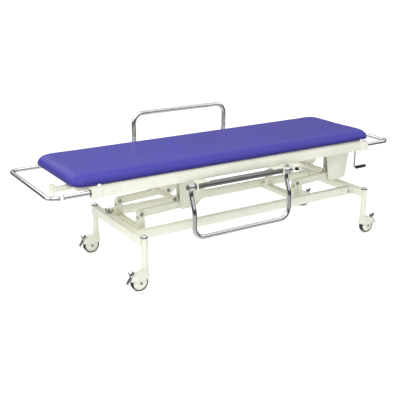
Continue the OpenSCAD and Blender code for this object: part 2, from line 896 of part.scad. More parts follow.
place() guard_loop_placed(-1, 0);  // guard_loop_near
place() guard_loop_placed(1, 180);  // guard_loop_far
place() guard_pivot_tube(-1);  // guard_pivot_tube_near
place() guard_pivot_tube(1);  // guard_pivot_tube_far
place() guard_brackets();
place() guard_lock(-1);  // guard_lock_near
place() guard_lock(1);  // guard_lock_far
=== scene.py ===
import json
import math

import bmesh
import bpy
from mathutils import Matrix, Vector


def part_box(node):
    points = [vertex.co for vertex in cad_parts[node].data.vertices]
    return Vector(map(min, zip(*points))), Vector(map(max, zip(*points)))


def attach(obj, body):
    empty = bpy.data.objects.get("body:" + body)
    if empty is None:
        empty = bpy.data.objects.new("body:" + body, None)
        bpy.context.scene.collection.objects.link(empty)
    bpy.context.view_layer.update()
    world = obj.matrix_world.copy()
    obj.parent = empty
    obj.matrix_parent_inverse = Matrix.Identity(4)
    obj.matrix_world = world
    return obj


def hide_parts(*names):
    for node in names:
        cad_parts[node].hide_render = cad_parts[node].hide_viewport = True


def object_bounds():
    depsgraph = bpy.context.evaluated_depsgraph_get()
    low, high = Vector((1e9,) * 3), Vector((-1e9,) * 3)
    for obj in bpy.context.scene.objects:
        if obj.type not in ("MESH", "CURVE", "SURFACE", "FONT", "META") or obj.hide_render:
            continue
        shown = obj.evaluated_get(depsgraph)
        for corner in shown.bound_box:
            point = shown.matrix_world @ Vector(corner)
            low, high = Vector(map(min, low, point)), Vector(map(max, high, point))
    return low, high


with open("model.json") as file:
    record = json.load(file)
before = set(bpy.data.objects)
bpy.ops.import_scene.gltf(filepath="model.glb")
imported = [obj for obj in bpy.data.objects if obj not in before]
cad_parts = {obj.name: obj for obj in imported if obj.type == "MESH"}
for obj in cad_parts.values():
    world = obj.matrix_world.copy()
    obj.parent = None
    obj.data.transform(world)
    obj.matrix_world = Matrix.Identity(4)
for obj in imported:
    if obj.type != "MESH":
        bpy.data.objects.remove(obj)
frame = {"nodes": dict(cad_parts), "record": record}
cad_lo, cad_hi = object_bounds()
scene = bpy.context.scene

ALONG_X = (1, 0, 0)
UP = (0, 0, 1)
DOWN = (0, 0, -1)
SHARP = math.radians(40)


# ---------------------------------------------------------------- node helpers

class Nodes:
    """Short names for building one node tree."""

    def __init__(self, tree):
        self.tree = tree
        tree.nodes.clear()

    def add(self, kind, inputs=None, **settings):
        made = self.tree.nodes.new(kind)
        for name, value in settings.items():
            setattr(made, name, value)
        for name, value in (inputs or {}).items():
            if isinstance(value, bpy.types.NodeSocket):
                self.tree.links.new(value, made.inputs[name])
            else:
                made.inputs[name].default_value = value
        return made

    def link(self, value, shader, socket):
        self.tree.links.new(value, shader.inputs[socket])

    def ramp(self, factor, stops):
        """Colour ramp of (place, grey or colour) stops."""
        made = self.add("ShaderNodeValToRGB", {"Fac": factor})
        elements = made.color_ramp.elements
        while len(elements) < len(stops):
            elements.new(0.5)
        for element, (place, value) in zip(elements, stops):
            element.position = place
            grey = isinstance(value, (int, float))
            element.color = (value, value, value, 1) if grey else (*value, 1)
        return made.outputs["Color"]

    def mix(self, factor, a, b, blend="MIX"):
        made = self.add("ShaderNodeMix", data_type="RGBA", blend_type=blend)
        for socket, value in ((made.inputs[0], factor), (made.inputs[6], a), (made.inputs[7], b)):
            if isinstance(value, bpy.types.NodeSocket):
                self.tree.links.new(value, socket)
            else:
                socket.default_value = value if isinstance(value, float) else (*value, 1)
        return made.outputs[2]

    def math(self, operation, a, b):
        return self.add("ShaderNodeMath", {0: a, 1: b}, operation=operation).outputs[0]

    def noise(self, place, scale, detail):
        inputs = {"Vector": place, "Scale": scale, "Detail": detail}
        return self.add("ShaderNodeTexNoise", inputs).outputs["Fac"]

    def stretched(self, place, scale):
        return self.add("ShaderNodeMapping", {"Vector": place, "Scale": scale}).outputs[0]

    def axis(self, vector, name):
        return self.add("ShaderNodeSeparateXYZ", {0: vector}).outputs[name]

    def round_edge(self, radius):
        return self.add("ShaderNodeBevel", {"Radius": radius}, samples=4).outputs[0]

    def bump(self, height, strength, distance, normal=None):
        inputs = {"Height": height, "Strength": strength, "Distance": distance}
        if normal is not None:
            inputs["Normal"] = normal
        return self.add("ShaderNodeBump", inputs).outputs[0]


def surface(name, colour, rough, metallic=0.0, coat=0.0, specular=0.5):
    """A material with its shader, ready for nodes on colour, roughness and bump."""
    material = bpy.data.materials.new(name)
    material.use_nodes = True
    nodes = Nodes(material.node_tree)
    out = nodes.add("ShaderNodeOutputMaterial")
    shader = nodes.add("ShaderNodeBsdfPrincipled", {
        "Base Color": (*colour, 1), "Roughness": rough, "Metallic": metallic,
        "Coat Weight": coat, "Coat Roughness": 0.2, "Specular IOR Level": specular,
    })
    nodes.link(shader.outputs[0], out, "Surface")
    place = nodes.add("ShaderNodeTexCoord").outputs["Object"]
    return material, nodes, shader, place


def scaled(colour, by):
    return tuple(min(1.0, c * by) for c in colour)


def tones(nodes, factor, colour, low, high):
    """The colour running between two of its tones; each end is (place on the factor, tone)."""
    return nodes.ramp(factor, [(low[0], scaled(colour, low[1])), (high[0], scaled(colour, high[1]))])


def edge_wear(nodes, place, base, worn):
    """Convex edges show a little of the worn colour, broken up by noise."""
    amount = 0.25
    edge = nodes.add("ShaderNodeNewGeometry").outputs["Pointiness"]
    patch = nodes.noise(place, scale=22.0, detail=4.0)
    on_edge = nodes.ramp(edge, [(0.515, 0.0), (0.56, 1.0)])
    broken = nodes.ramp(patch, [(0.45, 0.0), (0.62, 1.0)])
    factor = nodes.math("MULTIPLY", nodes.math("MULTIPLY", on_edge, broken), amount)
    return nodes.mix(factor, base, worn)


# ---------------------------------------------------------------- materials

def paint(name, colour):
    """Powder-coated steel: fine orange peel, faint dust in patches, rubbed edges."""
    rough = 0.32
    material, nodes, shader, place = surface(name, colour, rough, coat=0.25)
    patch = nodes.noise(place, scale=3.5, detail=5.0)
    cloud = tones(nodes, patch, colour, low=(0.35, 0.985), high=(0.65, 1.01))
    nodes.link(edge_wear(nodes, place, cloud, scaled(colour, 0.84)), shader, "Base Color")
    dull = nodes.ramp(patch, [(0.30, rough - 0.05), (0.70, rough + 0.10)])
    nodes.link(dull, shader, "Roughness")
    peel = nodes.noise(place, scale=420.0, detail=2.0)
    normal = nodes.bump(peel, strength=0.06, distance=0.0005, normal=nodes.round_edge(0.0016))
    nodes.link(normal, shader, "Normal")
    return material


def moulded(name, colour, rough, depth=0.12):
    """Moulded plastic: fine spark-eroded grain and slight mottling."""
    material, nodes, shader, place = surface(name, colour, rough)
    patch = nodes.noise(place, scale=9.0, detail=4.0)
    cloud = tones(nodes, patch, colour, low=(0.32, 0.92), high=(0.68, 1.05))
    nodes.link(edge_wear(nodes, place, cloud, scaled(colour, 1.35)), shader, "Base Color")
    dull = nodes.ramp(patch, [(0.30, rough - 0.06), (0.70, rough + 0.08)])
    nodes.link(dull, shader, "Roughness")
    pits = nodes.noise(place, scale=900.0, detail=1.0)
    normal = nodes.bump(pits, strength=depth, distance=0.0004, normal=nodes.round_edge(0.0012))
    nodes.link(normal, shader, "Normal")
    return material


def rubber(name, colour):
    """Tyre rubber: dusty tread, darker where it is clean."""
    material, nodes, shader, place = surface(name, colour, 0.62)
    patch = nodes.noise(place, scale=38.0, detail=6.0)
    nodes.link(tones(nodes, patch, colour, low=(0.38, 1.0), high=(0.72, 2.4)), shader, "Base Color")
    nodes.link(nodes.ramp(patch, [(0.3, 0.5), (0.7, 0.78)]), shader, "Roughness")
    nodes.link(nodes.bump(patch, strength=0.25, distance=0.0006), shader, "Normal")
    return material


def chrome(name, colour):
    """Bright chrome plate with faint polishing marks and fingerprints."""
    rough = 0.07
    material, nodes, shader, place = surface(name, colour, rough, metallic=1.0)
    smear = nodes.noise(place, scale=16.0, detail=6.0)
    nodes.link(nodes.ramp(smear, [(0.42, rough), (0.75, rough + 0.16)]), shader, "Roughness")
    nodes.link(tones(nodes, smear, colour, low=(0.3, 0.95), high=(0.7, 1.04)), shader, "Base Color")
    return material


def brushed(name, colour, rough, along=(4.0, 260.0, 260.0)):
    """Drawn or brushed steel: long fine lines along the bar."""
    material, nodes, shader, place = surface(name, colour, rough, metallic=1.0)
    lines = nodes.noise(nodes.stretched(place, along), scale=1.0, detail=5.0)
    nodes.link(tones(nodes, lines, colour, low=(0.30, 0.78), high=(0.70, 1.18)), shader, "Base Color")
    nodes.link(nodes.ramp(lines, [(0.3, rough - 0.08), (0.7, rough + 0.12)]), shader, "Roughness")
    nodes.link(nodes.bump(lines, strength=0.12, distance=0.0003), shader, "Normal")
    return material


def vinyl(name, colour):
    """Coated mattress cover: leather-like emboss with painted shade in its grooves, soft folds, uneven
    tone, and painted shade darkening it towards the deck.
    """
    material, nodes, shader, place = surface(name, colour, 0.40, coat=0.10, specular=0.20)
    patch = nodes.noise(place, scale=2.6, detail=6.0)
    cell = nodes.add("ShaderNodeTexVoronoi", {"Vector": place, "Scale": 420.0}, feature="DISTANCE_TO_EDGE")
    pores = nodes.ramp(cell.outputs["Distance"], [(0.0, 0.0), (0.22, 1.0)])
    cloud = tones(nodes, patch, colour, low=(0.32, 0.90), high=(0.68, 1.10))
    # Painted shade and painted light on the emboss: the colour darkens to 0.72 in the grooves between
    # grain cells and lightens to 1.08 on their tops.
    groove_shaded = nodes.mix(0.22, cloud, nodes.mix(pores, scaled(colour, 0.72), scaled(colour, 1.08)))
    lo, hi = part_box("mattress")
    span = {"Value": nodes.axis(place, "Z"), "From Min": lo.z, "From Max": hi.z}
    rise = nodes.add("ShaderNodeMapRange", span).outputs[0]
    # Painted shade: the colour falls to 0.62 at the bottom of the cushion and is full only above 72% of
    # its height, standing in for the shade on the lower side.
    painted_shade = nodes.ramp(rise, [(0.0, 0.62), (0.40, 0.86), (0.72, 1.0)])
    nodes.link(nodes.mix(1.0, groove_shaded, painted_shade, "MULTIPLY"), shader, "Base Color")
    nodes.link(nodes.ramp(patch, [(0.30, 0.38), (0.70, 0.48)]), shader, "Roughness")
    emboss = nodes.bump(pores, strength=0.16, distance=0.0006)
    folds = nodes.noise(place, scale=7.0, detail=3.0)
    nodes.link(nodes.bump(folds, strength=0.10, distance=0.008, normal=emboss), shader, "Normal")
    return material


def laminate(name, colour):
    """Cream laminate over board: faint long streaks."""
    material, nodes, shader, place = surface(name, colour, 0.5)
    grain = nodes.noise(nodes.stretched(place, (1.2, 14.0, 14.0)), scale=3.0, detail=8.0)
    nodes.link(tones(nodes, grain, colour, low=(0.35, 0.93), high=(0.65, 1.03)), shader, "Base Color")
    nodes.link(nodes.bump(grain, strength=0.06, distance=0.0003), shader, "Normal")
    return material


IVORY = (0.85, 0.855, 0.735)
VIOLET = (0.070, 0.058, 0.405)
looks = {
    "ivory_paint": paint("ivory_paint_look", IVORY),
    "shade_paint": paint("shade_paint_look", scaled(IVORY, 0.88)),
    "ivory_plastic": moulded("ivory_plastic_look", scaled(IVORY, 0.97), 0.38),
    # The hub plastic is the ivory made 7% brighter: painted light that lifts the hub, which sits in the
    # shade of the fork cheeks.
    "hub_plastic": moulded("hub_plastic_look", scaled(IVORY, 1.07), 0.40),
    "cover_plastic": moulded("cover_plastic_look", IVORY, 0.36),
    "tyre_rubber": rubber("tyre_rubber_look", (0.018, 0.018, 0.019)),
    "grey_plastic": moulded("grey_plastic_look", (0.13, 0.135, 0.15), 0.45),
    "black_plastic": moulded("black_plastic_look", (0.012, 0.012, 0.013), 0.40),
    "lock_black": moulded("lock_black_look", (0.014, 0.014, 0.015), 0.36),
    "white_plastic": moulded("white_plastic_look", (0.86, 0.86, 0.84), 0.25, depth=0.05),
    "cap_chrome": chrome("cap_chrome_look", (0.70, 0.71, 0.72)),
    "chrome_tube": chrome("chrome_tube_look", (0.78, 0.79, 0.81)),
    "zinc_steel": brushed("zinc_steel_look", (0.50, 0.50, 0.50), 0.36, (120.0, 120.0, 120.0)),
    "brushed_tube": brushed("brushed_tube_look", (0.30, 0.30, 0.29), 0.38),
    "mattress_cover": vinyl("mattress_cover_look", VIOLET),
    "deck_wood": laminate("deck_wood_look", (0.70, 0.68, 0.58)),
}


def dress_cad_nodes():
    """Every carried-over CAD node takes the procedural material of its slot."""
    for entry in frame["record"]["subparts"]:
        obj = frame["nodes"][entry["node"]]
        for place in obj.material_slots:
            place.material = looks[entry["material_slot"]]


# ---------------------------------------------------------------- shape helpers

def shade_smooth(mesh):
    for face in mesh.polygons:
        face.use_smooth = True


def new_piece(name, mesh, body, look):
    """Puts a mesh into the scene, riding on a body and wearing a slot's material."""
    obj = bpy.data.objects.new(name, mesh)
    scene.collection.objects.link(obj)
    obj.data.materials.append(looks[look])
    shade_smooth(mesh)
    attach(obj, body)
    return obj


def mesh_piece(name, bm, body, look, sharp=None):
    """A piece from a bmesh; where a sharp angle is given, edges past it stay crisp."""
    bmesh.ops.recalc_face_normals(bm, faces=bm.faces)
    mesh = bpy.data.meshes.new(name)
    bm.to_mesh(mesh)
    bm.free()
    piece = new_piece(name, mesh, body, look)
    if sharp is not None:
        piece.data.set_sharp_from_angle(angle=sharp)
    return piece


def apply_modifiers(piece):
    graph = bpy.context.evaluated_depsgraph_get()
    done = bpy.data.meshes.new_from_object(piece.evaluated_get(graph))
    piece.modifiers.clear()
    piece.data = done


def bridge(bm, a, b):
    """Faces between two closed loops of as many vertices."""
    count = len(a)
    for k in range(count):
        bm.faces.new((a[k], a[(k + 1) % count], b[(k + 1) % count], b[k]))


def slab(name, sheets, body, look, sharp):
    """A closed plate between two outlines of as many points."""
    bm = bmesh.new()
    back, front = [[bm.verts.new(point) for point in sheet] for sheet in sheets]
    bridge(bm, back, front)
    bm.faces.new(front)
    bm.faces.new(list(reversed(back)))
    mesh_piece(name, bm, body, look, sharp)


def outline(half_x, half_y, radius, steps=10):
    """Rounded rectangle as a list of plan points."""
    points = []
    for turn, (sx, sy) in enumerate(((1, 1), (-1, 1), (-1, -1), (1, -1))):
        for k in range(steps + 1):
            angle = math.radians(90 * turn + 90 * k / steps)
            x = sx * (half_x - radius) + radius * math.cos(angle)
            y = sy * (half_y - radius) + radius * math.sin(angle)
            points.append((x, y))
    return points


def rounded(points, radii, steps=12):
    """The corners of a path, each turned into an arc of its own radius."""
    points = [Vector(p) for p in points]
    path = [points[0]]
    for before, corner, after, radius in zip(points, points[1:], points[2:], radii):
        a, b = (before - corner).normalized(), (after - corner).normalized()
        half = a.angle(b) / 2
        reach = radius / math.tan(half)
        start, end = corner + a * reach, corner + b * reach
        centre = corner + (a + b).normalized() * (radius / math.sin(half))
        sweep = (start - centre).angle(end - centre)
        for k in range(steps + 1):
            t = k / steps
            p = (start - centre) * math.sin((1 - t) * sweep) + (end - centre) * math.sin(t * sweep)
            path.append(centre + p / math.sin(sweep))
    return path + [points[-1]]


def circle(centre, side, up, radius, sides):
    turns = [2 * math.pi * s / sides for s in range(sides)]
    return [centre + (side * math.cos(t) + up * math.sin(t)) * radius for t in turns]


def tube(name, path, radius, body, look, sides, closed=False):
    """Round tube along a path, with a frame carried along so that it never twists."""
    points = [Vector(p) for p in path]
    count = len(points)
    bm = bmesh.new()
    loops, side = [], None
    for k, point in enumerate(points):
        before = points[k - 1] if closed or k else point
        after = points[(k + 1) % count] if closed or k + 1 < count else point
        ahead = (after - before).normalized()
        if side is None:
            side = ahead.orthogonal().normalized()
        side = (side - ahead * side.dot(ahead)).normalized()
        loops.append([bm.verts.new(p) for p in circle(point, side, ahead.cross(side), radius, sides)])
    for a, b in zip(loops, loops[1:]):
        bridge(bm, a, b)
    if closed:
        bridge(bm, loops[-1], loops[0])
    else:
        bm.faces.new(loops[0])
        bm.faces.new(loops[-1])
    return mesh_piece(name, bm, body, look)


def lathe(name, profile, centre, axis, body, look, sides=32, sharp=SHARP):
    """Turns a profile of (distance along the axis, radius) round an axis."""
    centre, axis = Vector(centre), Vector(axis).normalized()
    side = axis.orthogonal().normalized()
    up = axis.cross(side)
    bm = bmesh.new()
    loops = []
    for along, radius in profile:
        loops.append([bm.verts.new(p) for p in circle(centre + axis * along, side, up, radius, sides)])
    for a, b in zip(loops, loops[1:]):
        bridge(bm, a, b)
    bm.faces.new(loops[0])
    bm.faces.new(loops[-1])
    return mesh_piece(name, bm, body, look, sharp)


def chamfered(start, end, radius, along, down):
    """Profile of a turned ring from start to end, both edges broken by along and down."""
    return [(start, radius - down), (start + along, radius), (end - along, radius), (end, radius - down)]


def bolt(name, place, axis, size, body, look="zinc_steel", sides=6):
    """Washer and chamfered hexagon (or round) head standing on a face; size is across the corners."""
    r, h = size / 2, size * 0.35
    washer_r, washer_t = r * 1.15, h * 0.25
    lathe(name + "_washer", [(0, washer_r), (washer_t, washer_r)], place, axis, body, look, 24)
    top = Vector(place) + Vector(axis).normalized() * washer_t
    head = [(0, r), (h * 0.8, r), (h, r * 0.82)]
    lathe(name, head, top, axis, body, look, sides, sharp=math.radians(20))


def drill(piece, places, radius, depth):
    """Round holes through a piece, along x."""
    for place in places:
        bm = bmesh.new()
        bmesh.ops.create_cone(bm, cap_ends=True, segments=24, radius1=radius, radius2=radius, depth=depth)
        mesh = bpy.data.meshes.new("cutter")
        bm.to_mesh(mesh)
        bm.free()
        cutter = bpy.data.objects.new("cutter", mesh)
        cutter.location = place
        cutter.rotation_euler = (0, math.radians(90), 0)
        scene.collection.objects.link(cutter)
        hole = piece.modifiers.new("hole", "BOOLEAN")
        hole.operation, hole.solver, hole.object = "DIFFERENCE", "EXACT", cutter
        apply_modifiers(piece)
        bpy.data.objects.remove(cutter)
    piece.data.set_sharp_from_angle(angle=SHARP)


# ---------------------------------------------------------------- softened edges

SOFT_EDGED = [
    "base_beam_near", "base_beam_far", "base_crossbeam_head", "base_crossbeam_foot", "lift_sills",
    "lift_posts", "lift_arm_head_near", "lift_arm_head_far", "lift_arm_foot_near", "lift_arm_foot_far",
    "lift_gussets", "side_rail_near", "side_rail_far", "frame_crossbars", "rail_end_sleeves",
    "pole_socket", "guard_brackets", "drive_cover", "deck_board", "screw_bearing",
]


def body_of(node):
    bodies = frame["record"]["behaviour"]["bodies"]
    return next(name for name, nodes in bodies.items() if node in nodes)


def softened(node):
    """A copy of a CAD node with its sharp edges rounded, standing for the node."""
    edge_width, merge, flat = 0.0016, 1e-6, math.radians(0.5)
    bm = bmesh.new()
    bm.from_mesh(frame["nodes"][node].data)
    bmesh.ops.remove_doubles(bm, verts=bm.verts, dist=merge)
    bmesh.ops.dissolve_limit(bm, angle_limit=flat, verts=bm.verts, edges=bm.edges)
    mesh = bpy.data.meshes.new(node + "_soft")
    bm.to_mesh(mesh)
    bm.free()
    entry = next(e for e in frame["record"]["subparts"] if e["node"] == node)
    piece = new_piece(node + "_soft", mesh, body_of(node), entry["material_slot"])
    bevel = piece.modifiers.new("bevel", "BEVEL")
    bevel.width, bevel.segments = edge_width, 2
    bevel.limit_method, bevel.angle_limit = "ANGLE", math.radians(32)
    apply_modifiers(piece)
    shade_smooth(piece.data)
    piece.data.set_sharp_from_angle(angle=math.radians(38))
    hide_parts(node)
    return piece


def soften_edges():
    """All but the deck board, which the chrome does not mirror, show in reflections."""
    for node in SOFT_EDGED:
        softened(node).visible_glossy = node != "deck_board"


# ---------------------------------------------------------------- mattress

PLAN_CORNER, LEAST_CORNER, CORNER_LOSS = 0.062, 0.02, 0.6
ROLL_IN, ROLL_UP, ROLL_STEPS = 0.052, 0.036, 8
TUCK_IN, TUCK_UP = 0.016, 0.011
BED_RINGS = [(0.10, 0.0), (TUCK_IN + 0.008, 0.0), (TUCK_IN, 0.001)]
CROWN = [(0.09, 0.0008), (0.15, 0.0014), (0.21, 0.0018)]
SWELL = 0.005


def make_mattress():
    """A crowned cushion with rolled edges, blown up a little by cloth, flat where it lies on the deck.

    It is drawn smaller all round by as much as the cloth run may swell it.
    """
    lo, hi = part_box("mattress")
    middle = (lo + hi) / 2
    half_x, half_y, thick = (hi.x - lo.x) / 2, (hi.y - lo.y) / 2, hi.z - lo.z
    rings = BED_RINGS + [(TUCK_IN * 0.35, TUCK_UP * 0.5), (0.0, TUCK_UP)]
    for k in range(ROLL_STEPS + 1):
        angle = math.radians(90 * k / ROLL_STEPS)
        rings.append((ROLL_IN * (1 - math.cos(angle)), thick - ROLL_UP + ROLL_UP * math.sin(angle)))
    rings += [(inset, thick + rise) for inset, rise in CROWN]
    bm = bmesh.new()
    loops = []
    for inset, height in rings:
        corner = max(PLAN_CORNER - CORNER_LOSS * inset, LEAST_CORNER)
        plan = outline(half_x - inset - SWELL, half_y - inset - SWELL, corner)
        loops.append([bm.verts.new((middle.x + x, middle.y + y, lo.z + height)) for x, y in plan])
    for low, high in zip(loops, loops[1:]):
        bridge(bm, low, high)
    bm.faces.new(loops[-1])
    bm.faces.new(list(reversed(loops[0])))
    cushion = mesh_piece("mattress_cushion", bm, "top", "mattress_cover")
    inflate(cushion, lo.z, hi.z)
    cushion.visible_glossy = False
    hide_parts("mattress")


def inflate(piece, floor_z, top_z):
    """Voxel remesh, a short cloth run with pressure, then cap how far each point went."""
    last_step, flat_to, fade_over, crown_room = 15, 0.004, 0.02, 0.004
    remesh = piece.modifiers.new("remesh", "REMESH")
    remesh.mode = "VOXEL"
    remesh.voxel_size = 0.011
    apply_modifiers(piece)
    before = [v.co.copy() for v in piece.data.vertices]
    cloth = piece.modifiers.new("cloth", "CLOTH")
    cloth.settings.quality = 5
    cloth.settings.mass = 0.4
    cloth.settings.tension_stiffness = 12
    cloth.settings.bending_stiffness = 2.0
    cloth.settings.use_pressure = True
    cloth.settings.uniform_pressure_force = 4.0
    cloth.settings.effector_weights.gravity = 0.0
    for step in range(1, last_step + 1):
        scene.frame_set(step)
    apply_modifiers(piece)
    scene.frame_set(1)
    for vertex, start in zip(piece.data.vertices, before):
        move = vertex.co - start
        if move.length > SWELL:
            move = move.normalized() * SWELL
        share = min(1.0, max(0.0, (start.z - floor_z - flat_to) / fade_over))
        vertex.co = start + move * share
        vertex.co.z = min(vertex.co.z, top_z + crown_room)
    smooth = piece.modifiers.new("smooth", "SMOOTH")
    smooth.factor, smooth.iterations = 0.5, 3
    apply_modifiers(piece)
    shade_smooth(piece.data)


def make_seam():
    """Sewn welt that closes the cover, low on the side where the mattress rests."""
    inset, corner, rise, radius = 0.0105, 0.056, 0.006, 0.0024
    lo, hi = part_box("mattress")
    middle = (lo + hi) / 2
    plan = outline((hi.x - lo.x) / 2 - inset, (hi.y - lo.y) / 2 - inset, corner, steps=14)
    path = [(middle.x + x, middle.y + y, lo.z + rise) for x, y in plan]
    tube("mattress_welt", path, radius, "top", "mattress_cover", 8, closed=True)


# ---------------------------------------------------------------- guards

GUARD_R, GUARD_BEND = 0.012, 0.057
LEG_START, SWEEP_START, SWEEP_END = 0.014, 0.038, 0.122
SWEEP_OUT, SWEEP_BEND = 0.034, 0.10
BOSS_HALF, BOSS_R, BOSS_EDGE = 0.0165, 0.017, 0.0018
DISC_T, DISC_R = 0.005, 0.027
LOCK_HOLE_AT, LOCK_HOLE_R = 0.020, 0.0043


def make_guard(side, upward):
    """Chromed loop with legs that sweep towards -y in an S, on two turned bosses with a drilled disc."""
    tube_lo, tube_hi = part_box(f"guard_pivot_tube_{side}")
    axis_y, axis_z = (tube_lo.y + tube_hi.y) / 2, (tube_lo.z + tube_hi.z) / 2
    lo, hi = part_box(f"guard_loop_{side}")
    head_x, foot_x = lo.x + BOSS_HALF, hi.x - BOSS_HALF - DISC_T
    disc_x = foot_x + BOSS_HALF
    reach = max(hi.z - axis_z, axis_z - lo.z) - GUARD_R
    body = f"guard_{side}"

    def at(x, out, away):
        return (x, axis_y - out, axis_z + upward * away)

    leg = [(0, LEG_START), (0, SWEEP_START), (SWEEP_OUT, SWEEP_END), (SWEEP_OUT, reach)]
    corners = [at(head_x, *point) for point in leg] + [at(foot_x, *point) for point in reversed(leg)]
    bends = [SWEEP_BEND, SWEEP_BEND, GUARD_BEND, GUARD_BEND, SWEEP_BEND, SWEEP_BEND]
    loop = tube(f"guard_tube_{side}", rounded(corners, bends), GUARD_R, body, "chrome_tube", 24)
    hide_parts(f"guard_loop_{side}")
    boss = chamfered(-BOSS_HALF, BOSS_HALF, BOSS_R, along=BOSS_EDGE, down=BOSS_EDGE)
    for name, x in (("head", head_x), ("foot", foot_x)):
        lathe(f"guard_boss_{side}_{name}", boss, at(x, 0, 0), ALONG_X, body, "chrome_tube")
    plate = chamfered(0, DISC_T, DISC_R, along=0.0008, down=0.001)
    disc = lathe(f"guard_disc_{side}", plate, at(disc_x, 0, 0), ALONG_X, body, "chrome_tube", 48)
    holes = [at(disc_x + DISC_T / 2, out, 0) for out in (-LOCK_HOLE_AT, LOCK_HOLE_AT)]
    drill(disc, holes, LOCK_HOLE_R, DISC_T * 3)


# ---------------------------------------------------------------- small fittings

def make_leg_fittings():
    """Dark ring under each leg cap, and a nut at each end of the caster axles."""
    ring_r, ring_rise, ring_tube, nut = 0.0175, 0.0016, 0.0018, 0.013
    for end in ("head", "foot"):
        for side in ("near", "far"):
            lo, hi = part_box(f"leg_{end}_{side}")
            x, y, out = (lo.x + hi.x) / 2, (lo.y + hi.y) / 2, 1 if side == "far" else -1
            turns = [math.radians(a) for a in range(0, 360, 12)]
            ring = [(x + ring_r * math.cos(a), y + ring_r * math.sin(a), hi.z + ring_rise) for a in turns]
            tube(f"cap_ring_{end}_{side}", ring, ring_tube, "base", "lock_black", 8, closed=True)
            hub_lo, hub_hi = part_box(f"caster_hub_{end}_{side}")
            axle = (hub_lo + hub_hi) / 2
            fork_lo, fork_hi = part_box(f"caster_fork_{end}_{side}")
            for face, way in ((fork_lo.y, -1), (fork_hi.y, 1)):
                label = f"axle_nut_{end}_{side}_{'out' if way == out else 'in'}"
                bolt(label, (axle.x, face, axle.z), (0, way, 0), nut, f"caster_{end}_{side}")


def make_beam_end():
    """Round-ended plate and cap screw where the near beam meets the foot crossbeam, and a bolt below."""
    plate_l, plate_t, edge = 0.080, 0.0035, 0.003
    screw_in, screw_size, low_in, low_size = 0.030, 0.020, 0.035, 0.013
    lo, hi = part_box("base_beam_near")
    middle_z, r = (lo.z + hi.z) / 2, (hi.z - lo.z) / 2 - edge
    turns = [math.radians(-90 + 180 * k / 12) for k in range(13)]
    shape = [(hi.x - r + r * math.cos(t), middle_z + r * math.sin(t)) for t in turns]
    shape += [(hi.x - plate_l, middle_z + r), (hi.x - plate_l, middle_z - r)]
    sheets = [[(x, lo.y - depth, z) for x, z in shape] for depth in (0.0, plate_t)]
    slab("beam_end_plate", sheets, "base", "ivory_paint", SHARP)
    screw = (hi.x - screw_in, lo.y - plate_t, middle_z)
    bolt("beam_end_screw", screw, (0, -1, 0), screw_size, "base", "cap_chrome", 24)
    bolt("beam_end_bolt_low", (hi.x - low_in, (lo.y + hi.y) / 2, lo.z), DOWN, low_size, "base")


def make_rail_fittings():
    """Bolts under the rail shoes and a dark bush where each handle leg leaves its shoe."""
    shoe_t, bolt_size, bolt_steps = 0.003, 0.011, (0.014, 0.036)
    bush = [(0.0, 0.0152), (0.0022, 0.0152), (0.0036, 0.0138), (0.0036, 0.0112)]
    bar_lo, bar_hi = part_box("push_handle_head")
    leg_z = (bar_lo.z + bar_hi.z) / 2
    shoe_lo, shoe_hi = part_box("rail_end_sleeves")
    for side in ("near", "far"):
        lo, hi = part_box(f"side_rail_{side}")
        middle_y = (lo.y + hi.y) / 2
        for end, face, way in (("head", shoe_lo.x, -1), ("foot", shoe_hi.x, 1)):
            name = f"handle_bush_{end}_{side}"
            lathe(name, bush, (face, middle_y, leg_z), (way, 0, 0), "top", "lock_black")
        for end, x, way in (("head", lo.x, 1), ("foot", hi.x, -1)):
            for k, step in enumerate(bolt_steps):
                place = (x + way * step, middle_y, lo.z - shoe_t)
                bolt(f"shoe_bolt_{end}_{side}_{k}", place, DOWN, bolt_size, "top")


def make_wing_nut():
    """Grey wing nut on the head crossbeam, by the far lift post."""
    from_edge, from_middle, leaf_half_t = 0.011, 0.133, 0.0028
    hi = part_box("base_crossbeam_head")[1]
    place = Vector((hi.x - from_edge, from_middle, hi.z))
    stud = [(0.0, 0.013), (0.002, 0.013), (0.003, 0.010), (0.014, 0.008), (0.015, 0.005), (0.026, 0.005)]
    lathe("wing_nut_boss", stud, place, UP, "base", "zinc_steel", 24)
    along = Vector((0.6, -0.8, 0.0))
    across = Vector((0.8, 0.6, 0.0)) * leaf_half_t
    leaf = [(0.007, 0.005), (0.013, 0.014), (0.019, 0.026), (0.0225, 0.028)]
    leaf += [(0.025, 0.025), (0.023, 0.015), (0.017, 0.007), (0.010, 0.003)]
    for wing, way in (("a", 1), ("b", -1)):
        sheets = []
        for edge in (-1, 1):
            points = [place + along * out * way + across * edge + Vector((0, 0, up)) for out, up in leaf]
            sheets.append(points)
        slab(f"wing_nut_leaf_{wing}", sheets, "base", "zinc_steel", math.radians(50))


def make_handle_joint():
    """Pale sleeve between two dark rings, where the head handle's near leg is joined."""
    bar_r, sleeve_l, ring_l, from_end = 0.011, 0.017, 0.003, 0.060
    sleeve_wall, ring_wall = 0.0012, 0.0018
    lo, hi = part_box("push_handle_head")
    start = Vector((lo.x + from_end, lo.y + bar_r, (lo.z + hi.z) / 2))
    sleeve = chamfered(0.0, sleeve_l, bar_r + sleeve_wall, along=0.0012, down=0.0010)
    lathe("handle_joint_sleeve", sleeve, start, ALONG_X, "handle_head", "white_plastic")
    ring = chamfered(0.0, ring_l, bar_r + ring_wall, along=0.0006, down=0.0016)
    for k, step in enumerate((-ring_l, sleeve_l)):
        place = start + Vector((step, 0, 0))
        lathe(f"handle_joint_ring_{k}", ring, place, ALONG_X, "handle_head", "grey_plastic")


# ---------------------------------------------------------------- stage

